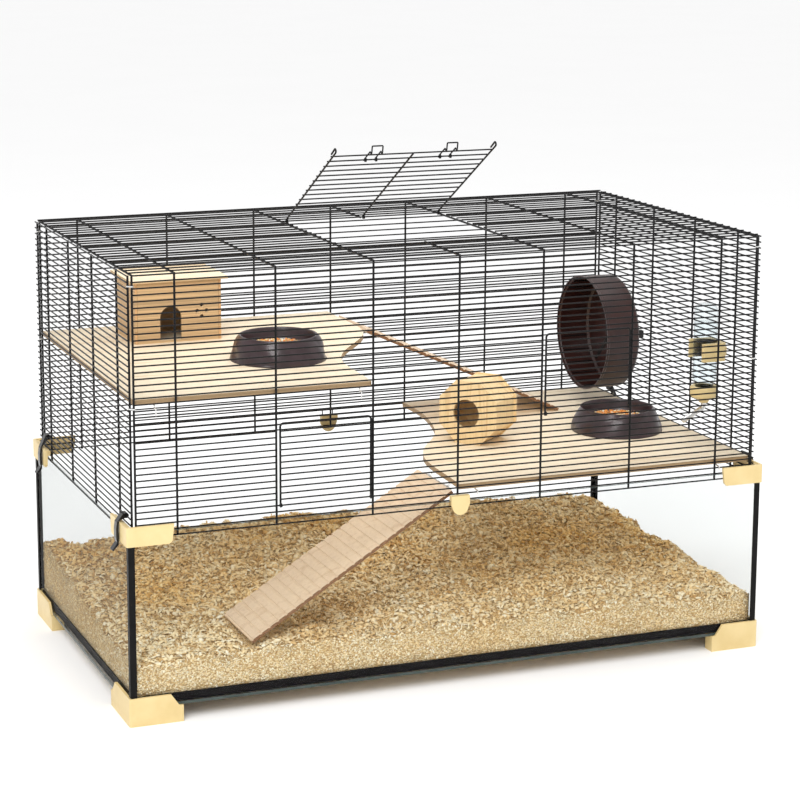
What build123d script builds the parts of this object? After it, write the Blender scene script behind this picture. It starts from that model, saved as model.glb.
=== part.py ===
"""Hamster cage: a glass tank on four feet, a wire top that lifts off, and the
furniture inside it. Millimetres, +X along the length, +Y to the back, +Z up,
z = 0 on the floor under the feet."""

import math
import os

from build123d import *

os.makedirs("parts", exist_ok=True)

# ---------------------------------------------------------------- dimensions
# tank
GLASS_X, GLASS_Y = 498.0, 273.5      # half length and half depth over the glass
GLASS_T = 4.0
FLOOR_Z = 24.5                       # underside of the floor pane
RIM_Z = 280.5                        # top edge of the side panes
FOOT_Z, BRACKET_Z = 41.5, 262.0      # top of the feet, underside of the corner brackets
SKIN = 4.0                           # plastic thickness outside the glass
OUT_X, OUT_Y = GLASS_X + SKIN, GLASS_Y + SKIN
IN_X, IN_Y = GLASS_X - GLASS_T, GLASS_Y - GLASS_T

# wire
R_BAR, R_ROW = 1.6, 1.1             # thick uprights, thin rows
TOUCH = 0.01                         # bars and rows are welded where they touch
CROSS = R_BAR + R_ROW - TOUCH        # spacing of a row from the bar it crosses
ROW_0, PITCH, ROWS = 271.5, 9.0, 42
TOP_Z = ROW_0 + (ROWS - 1) * PITCH   # 640.5
BARS_X = (-485.0, -424.8, -278.7, -132.5, 0.0, 132.5, 278.7, 424.8, 485.0)
BARS_Y = (-261.0, -201.0, -68.0, 68.0, 201.0, 261.0)
BAR_END = ROW_0 - 1.6                # lower ends of the uprights
FRONT_Y = 265.1                      # plane of the front and back uprights
SIDE_X = 489.5                       # plane of the side uprights

# front doors: left edge bar, right edge bar, hinge row, top row
LOW_DOOR = (2, 3, 3)
HIGH_DOOR = (5, 6, 14)
DOOR_ROWS = 13

# top door
HINGE_Y = 115.0
TOP_PITCH = 20.8
DOOR_PITCH = 17.9
OPEN_DEG = 30.5

# shelves
LEFT_TOP, RIGHT_TOP = 466.5, 302.0
SHELF_T = 8.0
HOOK_R = 1.0                         # wire of the shelf and ramp hooks

# wheel
WHEEL_Y, WHEEL_Z, WHEEL_R = 146.0, 424.0, 95.0
WHEEL_X0, WHEEL_X1 = 402.0, 462.0

# bowls
BOWL_L, BOWL_R = (-206.0, -66.0), (376.0, -36.0)


# ------------------------------------------------------------------- helpers
def rod(p, q, r):
    """A straight round wire from p to q."""
    line = Vector(*q) - Vector(*p)
    return Solid.make_cylinder(r, line.length, Plane(origin=p, z_dir=line))


def bent(points, r, bend):
    """A round wire bent along the points."""
    with BuildPart() as wire:
        with BuildLine() as path:
            FilletPolyline(*points, radius=bend)
        with BuildSketch(Plane(origin=path.line @ 0, z_dir=path.line % 0)):
            Circle(r)
        sweep()
    return wire.part.solids()[0]


def box(x0, x1, y0, y1, z0, z1):
    return Solid.make_box(x1 - x0, y1 - y0, z1 - z0, Plane((x0, y0, z0)))


def save(name, solids):
    """One sub-part: a single solid or a group of separate solids."""
    flat = []
    for s in solids:
        flat += list(s.solids())
    node = flat[0] if len(flat) == 1 else Compound(flat)
    node.label = name
    export_step(node, "parts/%s.step" % name)


def quarters(make):
    """The same piece at the four corners: front-left first."""
    first = make()
    return [
        first,
        first.mirror(Plane.YZ),
        first.mirror(Plane.XZ),
        first.mirror(Plane.YZ).mirror(Plane.XZ),
    ]


# --------------------------------------------------------------------- tank
def tank_glass():
    z0 = FLOOR_Z + GLASS_T
    save("tank_glass", [
        box(-GLASS_X, GLASS_X, -GLASS_Y, GLASS_Y, FLOOR_Z, z0),
        box(-GLASS_X, GLASS_X, -GLASS_Y, -IN_Y, z0, RIM_Z),
        box(-GLASS_X, GLASS_X, IN_Y, GLASS_Y, z0, RIM_Z),
        box(-GLASS_X, -IN_X, -IN_Y, IN_Y, z0, RIM_Z),
        box(IN_X, GLASS_X, -IN_Y, IN_Y, z0, RIM_Z),
    ])


def tank_strips():
    """Black strips inside the lower edges and round the four upright corners, and the
    lugs inside the glass corners that two uprights of the wire top stand on."""
    z0, z1, t = FLOOR_Z + GLASS_T, FLOOR_Z + 16.0, 2.0
    save("bottom_strips", [
        box(-IN_X, IN_X, -IN_Y, -IN_Y + t, z0, z1),
        box(-IN_X, IN_X, IN_Y - t, IN_Y, z0, z1),
        box(-IN_X, -IN_X + t, -IN_Y + t, IN_Y - t, z0, z1),
        box(IN_X - t, IN_X, -IN_Y + t, IN_Y - t, z0, z1),
    ])

    def corner():
        """An L round the outside of the glass, from the foot to the bracket."""
        x, y, leg, thick = -GLASS_X, -GLASS_Y, 8.0, 1.4
        with BuildPart() as strip:
            with BuildSketch(Plane((0, 0, FOOT_Z))):
                with BuildLine():
                    Polyline((x - thick, y - thick), (x + leg, y - thick), (x + leg, y), (x, y),
                             (x, y + leg), (x - thick, y + leg), close=True)
                make_face()
            extrude(amount=BRACKET_Z - FOOT_Z)
            edge = strip.edges().filter_by(Axis.Z).sort_by_distance((x - thick, y - thick, 150))[0]
            fillet(edge, 1.0)
        return strip.part

    save("corner_strips", quarters(corner))
    save("corner_lugs", quarters(lambda: box(-IN_X, -IN_X + 12, -IN_Y, -IN_Y + 12,
                                             BRACKET_Z, BAR_END - 0.02)))


def feet():
    """L-shaped feet: an outer skin up the glass and a ledge under the floor pane."""
    def foot():
        x, y = -OUT_X, -OUT_Y
        with BuildPart() as f:
            with BuildSketch(Plane.XZ.offset(-y)):
                with BuildLine():
                    Polyline((x, 0), (x + 79, 0), (x + 79, 16), (x + 61, FOOT_Z), (x, FOOT_Z),
                             close=True)
                make_face()
            extrude(amount=-SKIN)
            with BuildSketch(Plane.YZ.offset(x)):
                with BuildLine():
                    Polyline((y, 0), (y + 100, 0), (y + 100, 16), (y + 79, FOOT_Z), (y, FOOT_Z),
                             close=True)
                make_face()
            extrude(amount=SKIN)
            with BuildSketch(Plane.XY):
                with BuildLine():
                    Polyline((x, y), (x + 79, y), (x + 79, y + 20), (x + 20, y + 20),
                             (x + 20, y + 100), (x, y + 100), close=True)
                make_face()
            extrude(amount=FLOOR_Z)
            corner = f.edges().filter_by(Axis.Z).sort_by_distance((x, y, 20))[0]
            fillet(corner, 3.0)
        return f.part

    save("feet", quarters(foot))


def bedding():
    """Deep litter: low along the front pane, heaped to the back."""
    x0, y0 = IN_X - 2.0, IN_Y - 2.0
    z0 = FLOOR_Z + GLASS_T
    stations = (
        (-x0, (76, 85, 99, 112)), (-325, (84, 90, 103, 116)), (-60, (83, 95, 108, 119)),
        (200, (83, 95, 108, 116)), (x0, (78, 84, 92, 98)),
    )
    with BuildPart() as litter:
        for x, (a, b, c, d) in stations:
            with BuildSketch(Plane(origin=(x, 0, 0), x_dir=(0, 1, 0), z_dir=(1, 0, 0))):
                with BuildLine():
                    Polyline((-y0, z0), (-y0, a), (-110, b), (90, c), (y0, d), (y0, z0),
                             close=True)
                make_face()
        loft(ruled=True)
    save("bedding", [litter.part])


# ------------------------------------------------------------- rim fittings
def corner_brackets():
    """Cream corner pieces over the glass rim."""
    def bracket():
        x, y = -OUT_X, -OUT_Y
        with BuildPart() as b:
            with BuildSketch(Plane.XZ.offset(-y)):
                with BuildLine():
                    Polyline((x, BRACKET_Z), (x + 62, BRACKET_Z), (x + 66, 266), (x + 69, 290), (x, 290),
                             close=True)
                make_face()
            extrude(amount=-SKIN)
            with BuildSketch(Plane.YZ.offset(x)):
                with BuildLine():
                    Polyline((y, BRACKET_Z), (y + 78, BRACKET_Z), (y + 82, 266), (y + 85, 290), (y, 290),
                             close=True)
                make_face()
            extrude(amount=SKIN)
            # cap over the rim of both panes
            with BuildSketch(Plane((0, 0, RIM_Z))):
                with BuildLine():
                    Polyline((x, y), (x + 66, y), (x + 66, -IN_Y), (-IN_X, -IN_Y),
                             (-IN_X, y + 82), (x, y + 82), close=True)
                make_face()
            extrude(amount=288.5 - RIM_Z)
            corner = b.edges().filter_by(Axis.Z).sort_by_distance((x, y, 276))[0]
            fillet(corner, 3.0)
        return b.part

    save("corner_brackets", quarters(bracket))


def rim_clips():
    """Half-round clip in the middle of the front rim and its twin at the back."""
    def clip():
        y = -OUT_Y
        with BuildPart() as c:
            with BuildSketch(Plane.XZ.offset(-y)):
                with BuildLine():
                    Polyline((-12, 270), (-14.5, 275), (-14.5, 288.5), (14.5, 288.5),
                             (14.5, 275), (12, 270))
                    ThreePointArc((12, 270), (0, 260), (-12, 270))
                make_face()
            extrude(amount=-SKIN)
            with Locations((0, (y - IN_Y) / 2, (RIM_Z + 288.5) / 2)):
                Box(29, -IN_Y - y, 288.5 - RIM_Z)
        return c.part

    front = clip()
    save("rim_clips", [front, front.mirror(Plane.XZ)])

    # swinging wire loop on the back clip, its two ends in a barrel across the clip
    y, z, w = OUT_Y + 2.2, 279.0, 9.0
    with BuildPart() as barrel:
        with BuildSketch(Plane(origin=(-5, y, z), x_dir=(0, 1, 0), z_dir=(1, 0, 0))):
            Circle(2.2)
            Circle(1.0, mode=Mode.SUBTRACT)
        extrude(amount=10)
    save("rear_catch_barrel", [barrel.part])
    loop = bent([(-4.4, y, z), (-w, y, z), (-w, y + 0.6, z + 18), (w, y + 0.6, z + 18), (w, y, z),
                 (4.4, y, z)], 0.95, 2.0)
    save("rear_catch", [loop])


# --------------------------------------------------------------- wire panels
def rows_with_gap(y, k, gaps):
    """One row of the front panel, cut where a door stands in it."""
    z = ROW_0 + k * PITCH
    cuts = [(BARS_X[a], BARS_X[b]) for a, b, k0 in gaps if k0 < k <= k0 + DOOR_ROWS]
    xs = [-486.4]
    for a, b in cuts:
        xs += [a, b]
    xs.append(486.4)
    return [rod((xs[i], y, z), (xs[i + 1], y, z), R_ROW) for i in range(0, len(xs), 2)]


def long_panel(name, side, gaps):
    y = side * FRONT_Y
    out = [rod((x, y, BAR_END), (x, y, TOP_Z - R_BAR + TOUCH), R_BAR) for x in BARS_X]
    for k in range(ROWS):
        out += rows_with_gap(side * (FRONT_Y + CROSS), k, gaps)
    save(name, out)


def side_panel(name, side):
    x = side * SIDE_X
    out = [rod((x, y, BAR_END), (x, y, TOP_Z - 0.4), R_BAR) for y in BARS_Y]
    xr = side * (SIDE_X + CROSS)
    out += [rod((xr, -263.5, ROW_0 + k * PITCH), (xr, 263.5, ROW_0 + k * PITCH), R_ROW)
            for k in range(ROWS)]
    save(name, out)


def top_panel():
    z, zr = TOP_Z, TOP_Z + CROSS
    y1 = FRONT_Y + R_BAR
    out = []
    for i, x in enumerate(BARS_X):
        if i == 4:
            out += [rod((x, -y1, z), (x, HINGE_Y - 12 * TOP_PITCH - 1.0, z), R_BAR),
                    rod((x, HINGE_Y + 14.0, z), (x, y1, z), R_BAR)]
        else:
            out.append(rod((x, -y1, z), (x, y1, z), R_BAR))
    for j in range(-18, 8):
        y = HINGE_Y + j * TOP_PITCH
        if -12 < j < 0:
            out += [rod((-489.0, y, zr), (BARS_X[3], y, zr), R_ROW),
                    rod((BARS_X[5], y, zr), (489.0, y, zr), R_ROW)]
        else:
            out.append(rod((-489.0, y, zr), (489.0, y, zr), R_ROW))
    save("top_panel", out)


def corner_clips():
    """Small steel rings that tie the uprights of two panels at each corner."""
    a = (-485.0, -FRONT_Y)
    b = (-SIDE_X, BARS_Y[0])
    mid = ((a[0] + b[0]) / 2, (a[1] + b[1]) / 2)
    turn = math.degrees(math.atan2(b[1] - a[1], b[0] - a[0]))
    span = math.dist(a, b)

    def ring(z):
        with BuildPart() as c:
            with BuildSketch(Plane(origin=(mid[0], mid[1], z))):
                with Locations(Location((0, 0, 0), (0, 0, turn))):
                    SlotCenterToCenter(span, 2 * R_BAR + 1.2)
                    SlotCenterToCenter(span, 2 * R_BAR - 0.004, mode=Mode.SUBTRACT)
            extrude(amount=1.8)
        return c.part

    out = []
    for k in (1, 20, 39):
        z = ROW_0 + k * PITCH + 2.0
        out += quarters(lambda z=z: ring(z))
    save("corner_clips", out)


# --------------------------------------------------------------- front doors
def front_door(name, gap):
    """A bent frame with rounded top corners, its rows, and two hinge eyes."""
    a, b, k0 = gap
    x0, x1 = BARS_X[a] + 5.6, BARS_X[b] - 3.6
    z0 = ROW_0 + k0 * PITCH
    z1 = z0 + DOOR_ROWS * PITCH + 1.4
    y = -FRONT_Y - 0.9
    yd = y - 1.5 - R_ROW + TOUCH
    out = [bent([(x0, y, z0 + 2.9), (x0, y, z1), (x1, y, z1), (x1, y, z0 + 2.9)], 1.5, 5.0)]
    for k in range(k0 + 1, k0 + DOOR_ROWS):
        z = ROW_0 + k * PITCH
        out.append(rod((x0 - 0.8, yd, z), (x1 + 0.8, yd, z), R_ROW))
    yr = -FRONT_Y - CROSS
    for x in (x0, x1):
        with BuildPart() as eye:
            with BuildSketch(Plane(origin=(x - 1.5, yr, z0), x_dir=(0, 1, 0), z_dir=(1, 0, 0))):
                Circle(3.0)
                Circle(R_ROW + 0.3, mode=Mode.SUBTRACT)
            extrude(amount=3.0)
        out.append(eye.part)
    save(name, out)


# ------------------------------------------------------------------ top door
def tilt(solids):
    """Swing shut-position shapes to the open rest angle about the hinge row."""
    axis = Axis((0, HINGE_Y, TOP_Z + CROSS), (-1, 0, 0))
    return [s.rotate(axis, OPEN_DEG) for s in solids]


DOOR_H, R_DOOR = 2.9, 1.4            # height of the door bars over the hinge row, their radius


def top_door():
    zh = TOP_Z + CROSS
    zb, zr = zh + DOOR_H, zh + DOOR_H + R_DOOR + R_ROW - TOUCH
    end, edge = HINGE_Y - 255.0, door_row(0)
    out = []
    for x in (-128.0, 0.0, 128.0):
        if x:
            # the end bars run on and fold back over the last row
            out.append(bent([(x, HINGE_Y, zb), (x, end, zb), (x, end, zb + 6.5), (x, edge - 2, zb + 5.4)],
                            R_DOOR, 2.8))
        else:
            out.append(rod((x, HINGE_Y, zb), (x, edge - 3.0, zb), R_DOOR))
        with BuildPart() as eye:
            with BuildSketch(Plane(origin=(x - 1.5, HINGE_Y, zh), x_dir=(0, 1, 0), z_dir=(1, 0, 0))):
                Circle(3.2)
                Circle(R_ROW + 0.3, mode=Mode.SUBTRACT)
            extrude(amount=3.0)
        out.append(eye.part)
    for i in range(DOOR_ROWS):
        out.append(rod((-129.2, door_row(i), zr), (129.2, door_row(i), zr), R_ROW))
    save("top_door", tilt(out))


def door_row(i):
    """Place of a row of the shut top door, counted from its free edge."""
    return HINGE_Y - 234.0 + i * DOOR_PITCH


def top_latches():
    """Bent-wire finger latches: eyes on the last row but one, legs over the last row,
    a short hook beyond it and a loop for the finger."""
    zr = TOP_Z + CROSS + DOOR_H + R_DOOR + R_ROW - TOUCH
    y, pin = door_row(0), door_row(1)
    r, w = 1.1, 8.5
    over = R_ROW + r + 0.3
    for name, x in (("top_latch_left", -60.0), ("top_latch_right", 60.0)):
        side = [(pin + 7, zr + over - 0.4), (pin, zr + over), (y - 6.0, zr + over),
                (y - 7.5, zr - 2.6), (y - 10.5, zr - 2.2), (y - 18.0, zr + 6.0)]
        path = [(x - w, a, b) for a, b in side] + [(x + w, a, b) for a, b in side[::-1]]
        with BuildPart() as latch:
            add(bent(path, r, 1.3))
            for xx in (x - w, x + w):
                with BuildSketch(Plane(origin=(xx - r, pin, zr), x_dir=(0, 1, 0), z_dir=(1, 0, 0))):
                    Circle(R_ROW + 2.2)
                extrude(amount=2 * r)
            for xx in (x - w, x + w):
                with BuildSketch(Plane(origin=(xx - r, pin, zr), x_dir=(0, 1, 0), z_dir=(1, 0, 0))):
                    Circle(R_ROW + 0.25)
                extrude(amount=2 * r, mode=Mode.SUBTRACT)
        save(name, tilt([latch.part]))


# --------------------------------------------------------------- side latches
def side_latches():
    """Lever latches: an eye on a row of the side panel and a curved tail outside the rim."""
    xr, x, wide = -(SIDE_X + CROSS), -OUT_X, 12.0

    def lever(y, row):
        zr = ROW_0 + row * PITCH
        with BuildPart() as piece:
            with BuildSketch(Plane.XZ.offset(-y)):
                with BuildLine():
                    Polyline((xr - 1.2, zr + 3.4), (xr - 5.0, zr + 2.2), (x - 3.8, 290),
                             (x - 5.2, 279), (x - 5.0, 266), (x - 4.0, 260), (x - 11.5, 250),
                             (x - 9.8, 248.5), (x - 1.6, 257), (x - 1.4, 266), (x - 1.8, 279),
                             (x - 1.2, 291), (x - 0.4, 292), (xr - 1.2, zr - 3.4), close=True)
                make_face()
            extrude(amount=-wide)
            with BuildSketch(Plane.XZ.offset(-y)):
                with Locations((xr, zr)):
                    Circle(3.8)
            extrude(amount=-wide)
            with BuildSketch(Plane.XZ.offset(-y)):
                with Locations((xr, zr)):
                    Circle(R_ROW + 0.3)
            extrude(amount=-wide, mode=Mode.SUBTRACT)
            fillet(piece.edges().filter_by(Axis.Y).sort_by(Axis.Z)[:2], 0.8)
        return piece.part

    front, back = lever(-242.0, 3), lever(-222.0, 4)
    save("latch_front_left", [front])
    save("latch_front_right", [front.mirror(Plane.YZ)])
    save("latch_back_left", [back.mirror(Plane.XZ)])
    save("latch_back_right", [back.mirror(Plane.YZ).mirror(Plane.XZ)])


# ------------------------------------------------------------------- shelves
def shelves():
    y = 262.0
    with BuildPart() as left:
        with BuildSketch(Plane((0, 0, LEFT_TOP - SHELF_T))):
            with BuildLine():
                w = Spline((-134, -y), (-130, -185), (-124, -120), (-96, -52), (-50, 14),
                           (-14, 80), (-6, 140), (-6, y))
                Polyline(w @ 1, (-484, y), (-484, -y), w @ 0)
            make_face()
        extrude(amount=SHELF_T)
    save("left_shelf", [left.part])

    with BuildPart() as right:
        with BuildSketch(Plane((0, 0, RIGHT_TOP - SHELF_T))):
            with BuildLine():
                w = Spline((4, -y), (8, -180), (18, -95), (48, -30), (88, 30), (112, 95),
                           (128, 180), (128, y))
                Polyline(w @ 1, (484, y), (484, -y), w @ 0)
            make_face()
        extrude(amount=SHELF_T)
    save("right_shelf", [right.part])


def shelf_hooks():
    """Wire hooks: a leg under the shelf, over a row of the long panel, tail outside."""
    rest = R_ROW + HOOK_R - TOUCH

    def hook(x, z_shelf, side, tail):
        z = z_shelf - SHELF_T - HOOK_R + TOUCH
        zr = ROW_0 + math.floor((z - rest - ROW_0) / PITCH) * PITCH + rest
        y1 = side * (FRONT_Y - R_BAR - HOOK_R - 0.1)
        y2 = side * (FRONT_Y + CROSS + R_ROW + HOOK_R + 0.1)
        return bent([(x, side * 244.0, z), (x, y1, z), (x, y1, zr), (x, y2, zr),
                     (x, y2, zr - tail)], HOOK_R, 1.2 if z - zr > 3 else 0.6)

    out = []
    for side in (-1, 1):
        out += [hook(x, LEFT_TOP, side, 10.0) for x in (-455.0, -152.0)]
    out += [hook(x, RIGHT_TOP, -1, 4.5) for x in (30.0, 430.0)]
    out += [hook(x, RIGHT_TOP, 1, 4.5) for x in (152.0, 430.0)]
    save("shelf_hooks", out)


# --------------------------------------------------------------------- ramps
def ramp_solid(top, bottom, y0, y1, thick, ribs):
    """A board from top to bottom (x, z of the upper face ends) with ribs across it."""
    (xa, za), (xb, zb) = top, bottom
    length = math.hypot(xb - xa, zb - za)
    ux, uz = (xb - xa) / length, (zb - za) / length
    nx, nz = (-uz, ux) if ux > 0 else (uz, -ux)
    step = length / ribs
    pts = []
    for i in range(ribs):
        d = i * step
        pts += [(xa + ux * d, za + uz * d), (xa + ux * (d + step * 0.72), za + uz * (d + step * 0.72)),
                (xa + ux * (d + step * 0.78) - nx * 1.2, za + uz * (d + step * 0.78) - nz * 1.2),
                (xa + ux * (d + step * 0.94) - nx * 1.2, za + uz * (d + step * 0.94) - nz * 1.2)]
    pts += [(xb, zb), (xb - nx * thick, zb - nz * thick), (xa - nx * thick, za - nz * thick)]
    with BuildPart() as r:
        with BuildSketch(Plane.XZ.offset(-y0)):
            with BuildLine():
                Polyline(*pts, close=True)
            make_face()
        extrude(amount=-(y1 - y0))
    return r.part


LOWER_TOP, LOWER_END = (-4.0, 291.0), (-314.0, 98.0)
UPPER_TOP, UPPER_END = (6.0, 463.0), (346.0, 306.9)
RAMP_T = 5.0


def pivot(top, bottom):
    """Centre of the wire crossbar a ramp swings on, just past its top end."""
    (xa, za), (xb, zb) = top, bottom
    length = math.hypot(xb - xa, zb - za)
    ux, uz = (xb - xa) / length, (zb - za) / length
    nx, nz = (-uz, ux) if ux > 0 else (uz, -ux)
    drop = RAMP_T + 1.0 - TOUCH
    return (ux, uz), (xa - nx * drop - 4 * ux, za - nz * drop - 4 * uz)


def ramp_wire(name, top, bottom, y0, y1):
    """A bent wire under the top end of a ramp, with the crossbar as hinge pin."""
    (ux, uz), (px, pz) = pivot(top, bottom)
    a, b = (px + 34 * ux, pz + 34 * uz), (px, pz)
    save(name, [bent([(a[0], y0, a[1]), (b[0], y0, b[1]), (b[0], y1, b[1]), (a[0], y1, a[1])],
                     1.0, 1.8)])


def ramp_loops():
    """Wire loops under the shelf edges that carry the crossbars of the ramps."""
    out = []
    for top, end, ys, z_under, way in (
            (LOWER_TOP, LOWER_END, (-222.0, -154.0), RIGHT_TOP - SHELF_T, 1),
            (UPPER_TOP, UPPER_END, (150.0, 206.0), LEFT_TOP - SHELF_T, -1)):
        px, pz = pivot(top, end)[1]
        z = z_under - 1.0 + TOUCH
        for y in ys:
            with BuildPart() as loop:
                with BuildSketch(Plane(origin=(px, y + 1.0, pz), x_dir=(1, 0, 0), z_dir=(0, -1, 0))):
                    Circle(2.6)
                    Circle(1.3, mode=Mode.SUBTRACT)
                extrude(amount=2.0)
            out.append(loop.part)
            if z - pz > 3:
                out.append(bent([(px + way * 1.9, y, pz + 2.0), (px + way * 4.6, y, z),
                                 (px + way * 46, y, z)], 0.9, 1.0))
            else:
                out.append(rod((px + way * 2.5, y, z), (px + way * 46, y, z), 0.9))
    save("ramp_loops", out)


def ramps():
    save("lower_ramp", [ramp_solid(LOWER_TOP, LOWER_END, -253.0, -123.0, RAMP_T, 24)])
    save("upper_ramp", [ramp_solid(UPPER_TOP, UPPER_END, 112.0, 240.0, RAMP_T, 26)])
    ramp_wire("lower_ramp_wire", LOWER_TOP, LOWER_END, -236.0, -140.0)
    ramp_wire("upper_ramp_wire", UPPER_TOP, UPPER_END, 130.0, 226.0)
    ramp_loops()


# --------------------------------------------------------------------- house
HOUSE = (-378.0, -240.0, 105.0, 207.0, LEFT_TOP, 562.0)


def house():
    x0, x1, y0, y1, z0, z1 = HOUSE
    t = 4.0
    with BuildPart() as front:
        with BuildSketch(Plane.XZ.offset(-y0)):
            with Locations(((x0 + x1) / 2, (z0 + z1) / 2)):
                Rectangle(x1 - x0, z1 - z0)
            with Locations((-321.0, z0 + 2 + 19.5)):
                Rectangle(34, 35, mode=Mode.SUBTRACT)
            with Locations((-321.0, z0 + 39.0)):
                Circle(17, mode=Mode.SUBTRACT)
            with Locations((-271, 504), (-271, 522), (-278.5, 513), (-263.5, 513)):
                Circle(3.1, mode=Mode.SUBTRACT)
        extrude(amount=-t)
    save("house_walls", [
        front.part,
        box(x0, x1, y1 - t, y1, z0, z1),
        box(x0, x0 + t, y0 + t, y1 - t, z0, z1),
        box(x1 - t, x1, y0 + t, y1 - t, z0, z1),
    ])
    save("house_roof", [
        box(x0 - 8, x1 + 9, y0 - 8, y1 + 8, z1, z1 + 4),
        box(x0 + t + 1, x1 - t - 1, y0 + t + 1, y0 + t + 5, z1 - 5, z1),
        box(x0 + t + 1, x1 - t - 1, y1 - t - 5, y1 - t - 1, z1 - 5, z1),
    ])


# ---------------------------------------------------------------------- hide
def hide():
    """Eight-sided wooden barrel lying on one flat, round hole in its front board."""
    c = Vector(112.0, -45.0, RIGHT_TOP + 50.2)
    face = Vector(-0.78, -0.62, 0).normalized()
    along = Vector(0.62, -0.78, 0).normalized()
    front = Plane(origin=c, x_dir=along, z_dir=face)
    r = 50.0 / math.cos(math.pi / 8)
    depth, t = 70.0, 4.0
    with BuildPart() as shell:
        with BuildSketch(front.offset(-t)):
            RegularPolygon(r - 2.4, 8, rotation=22.5)
            RegularPolygon(r - 2.4 - t, 8, rotation=22.5, mode=Mode.SUBTRACT)
        extrude(amount=-(depth - 2 * t))
    with BuildPart() as mouth:
        with BuildSketch(front):
            RegularPolygon(r, 8, rotation=22.5)
            with Locations((-3.0, -2.0)):
                Circle(22.5, mode=Mode.SUBTRACT)
        extrude(amount=-t)
    with BuildPart() as back:
        with BuildSketch(front.offset(-depth + t)):
            RegularPolygon(r, 8, rotation=22.5)
        extrude(amount=-t)
    save("hide_barrel", [shell.part])
    save("hide_boards", [mouth.part, back.part])


# --------------------------------------------------------------------- wheel
def wheel():
    def ring_profile():
        with BuildPart() as drum:
            with BuildSketch(Plane.XY):
                with BuildLine():
                    Polyline((WHEEL_X0, 93.0), (WHEEL_X0, WHEEL_R), (WHEEL_X0 + 3, WHEEL_R),
                             (WHEEL_X0 + 5, 93.6), (WHEEL_X1 - 4, 93.6), (WHEEL_X1, 90),
                             (WHEEL_X1, 4.3), (WHEEL_X1 - 2.6, 4.3), (WHEEL_X1 - 2.6, 14),
                             (WHEEL_X1 - 2.6, 88), (WHEEL_X1 - 6, 91.4), (WHEEL_X0 + 5, 91.4),
                             (WHEEL_X0 + 3, 93.0), close=True)
                make_face()
            revolve(axis=Axis.X)
        return drum.part

    def at(p):
        return p.moved(Location((0, WHEEL_Y, WHEEL_Z)))

    save("wheel_drum", [at(ring_profile())])

    # treads: thin bars moulded inside the running band
    out = []
    for i in range(24):
        a = math.radians(i * 15.0)
        y, z = 90.51 * math.cos(a), 90.51 * math.sin(a)
        out.append(rod((WHEEL_X0 + 6, WHEEL_Y + y, WHEEL_Z + z),
                       (WHEEL_X1 - 6.5, WHEEL_Y + y, WHEEL_Z + z), 0.9))
    save("wheel_treads", out)

    with BuildPart() as hub:
        with BuildSketch(Plane.YZ.offset(WHEEL_X1 - 2.6)):
            Circle(15)
        extrude(amount=-5.0)
        with BuildSketch(Plane.YZ.offset(WHEEL_X1 - 7.6)):
            Circle(11)
        extrude(amount=-3.0)
        with BuildSketch(Plane.YZ.offset(WHEEL_X1)):
            Circle(4.05)
        extrude(amount=-7.0, mode=Mode.SUBTRACT)
    save("wheel_hub", [at(hub.part)])

    # axle and the bracket that hooks on the right panel
    save("wheel_axle", [rod((WHEEL_X1 - 6.0, WHEEL_Y, WHEEL_Z), (WHEEL_X1 + 10.0, WHEEL_Y, WHEEL_Z), 4.0)])
    x1 = SIDE_X + CROSS - R_ROW + TOUCH
    with BuildPart() as stand:
        with BuildSketch(Plane.YZ.offset(WHEEL_X1 + 3.0)):
            Circle(13)
        extrude(amount=7.0)
        with BuildSketch(Plane.YZ.offset(WHEEL_X1 + 10.0)):
            RectangleRounded(26, 112, 6)
            RectangleRounded(112, 20, 6)
        extrude(amount=4.0)
        with BuildSketch(Plane.YZ.offset(WHEEL_X1 + 14.0)):
            with Locations((0, 46), (0, -46), (45, 0), (-45, 0)):
                Rectangle(10, 12)
        extrude(amount=x1 - (WHEEL_X1 + 14.0))
        with BuildSketch(Plane.YZ.offset(WHEEL_X1 + 3.0)):
            Circle(4.0)
        extrude(amount=7.0, mode=Mode.SUBTRACT)
    save("wheel_bracket", [at(stand.part)])


# --------------------------------------------------------------------- bowls
def bowls():
    for name, feed, (x, y), z in (("bowl_left", "feed_left", BOWL_L, LEFT_TOP),
                                  ("bowl_right", "feed_right", BOWL_R, RIGHT_TOP)):
        with BuildPart() as bowl:
            with BuildSketch(Plane.XZ):
                with BuildLine():
                    Polyline((0, 3), (0, 8), (42, 8), (52, 20), (55, 35), (57, 37), (60, 35),
                             (66, 22), (74, 6), (74, 0), (71, 0), (63, 15), (50, 3), close=True)
                make_face()
            revolve(axis=Axis.Z)
        with BuildPart() as food:
            with BuildSketch(Plane.XZ):
                with BuildLine():
                    Polyline((0, 8.02), (0, 27), (20, 25), (40, 22), (51.5, 20), (42, 8.02), close=True)
                make_face()
            revolve(axis=Axis.Z)
        save(name, [bowl.part.moved(Location((x, y, z)))])
        save(feed, [food.part.moved(Location((x, y, z)))])


# -------------------------------------------------------------- water bottle
BOTTLE = (464.0, -157.0)


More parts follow.
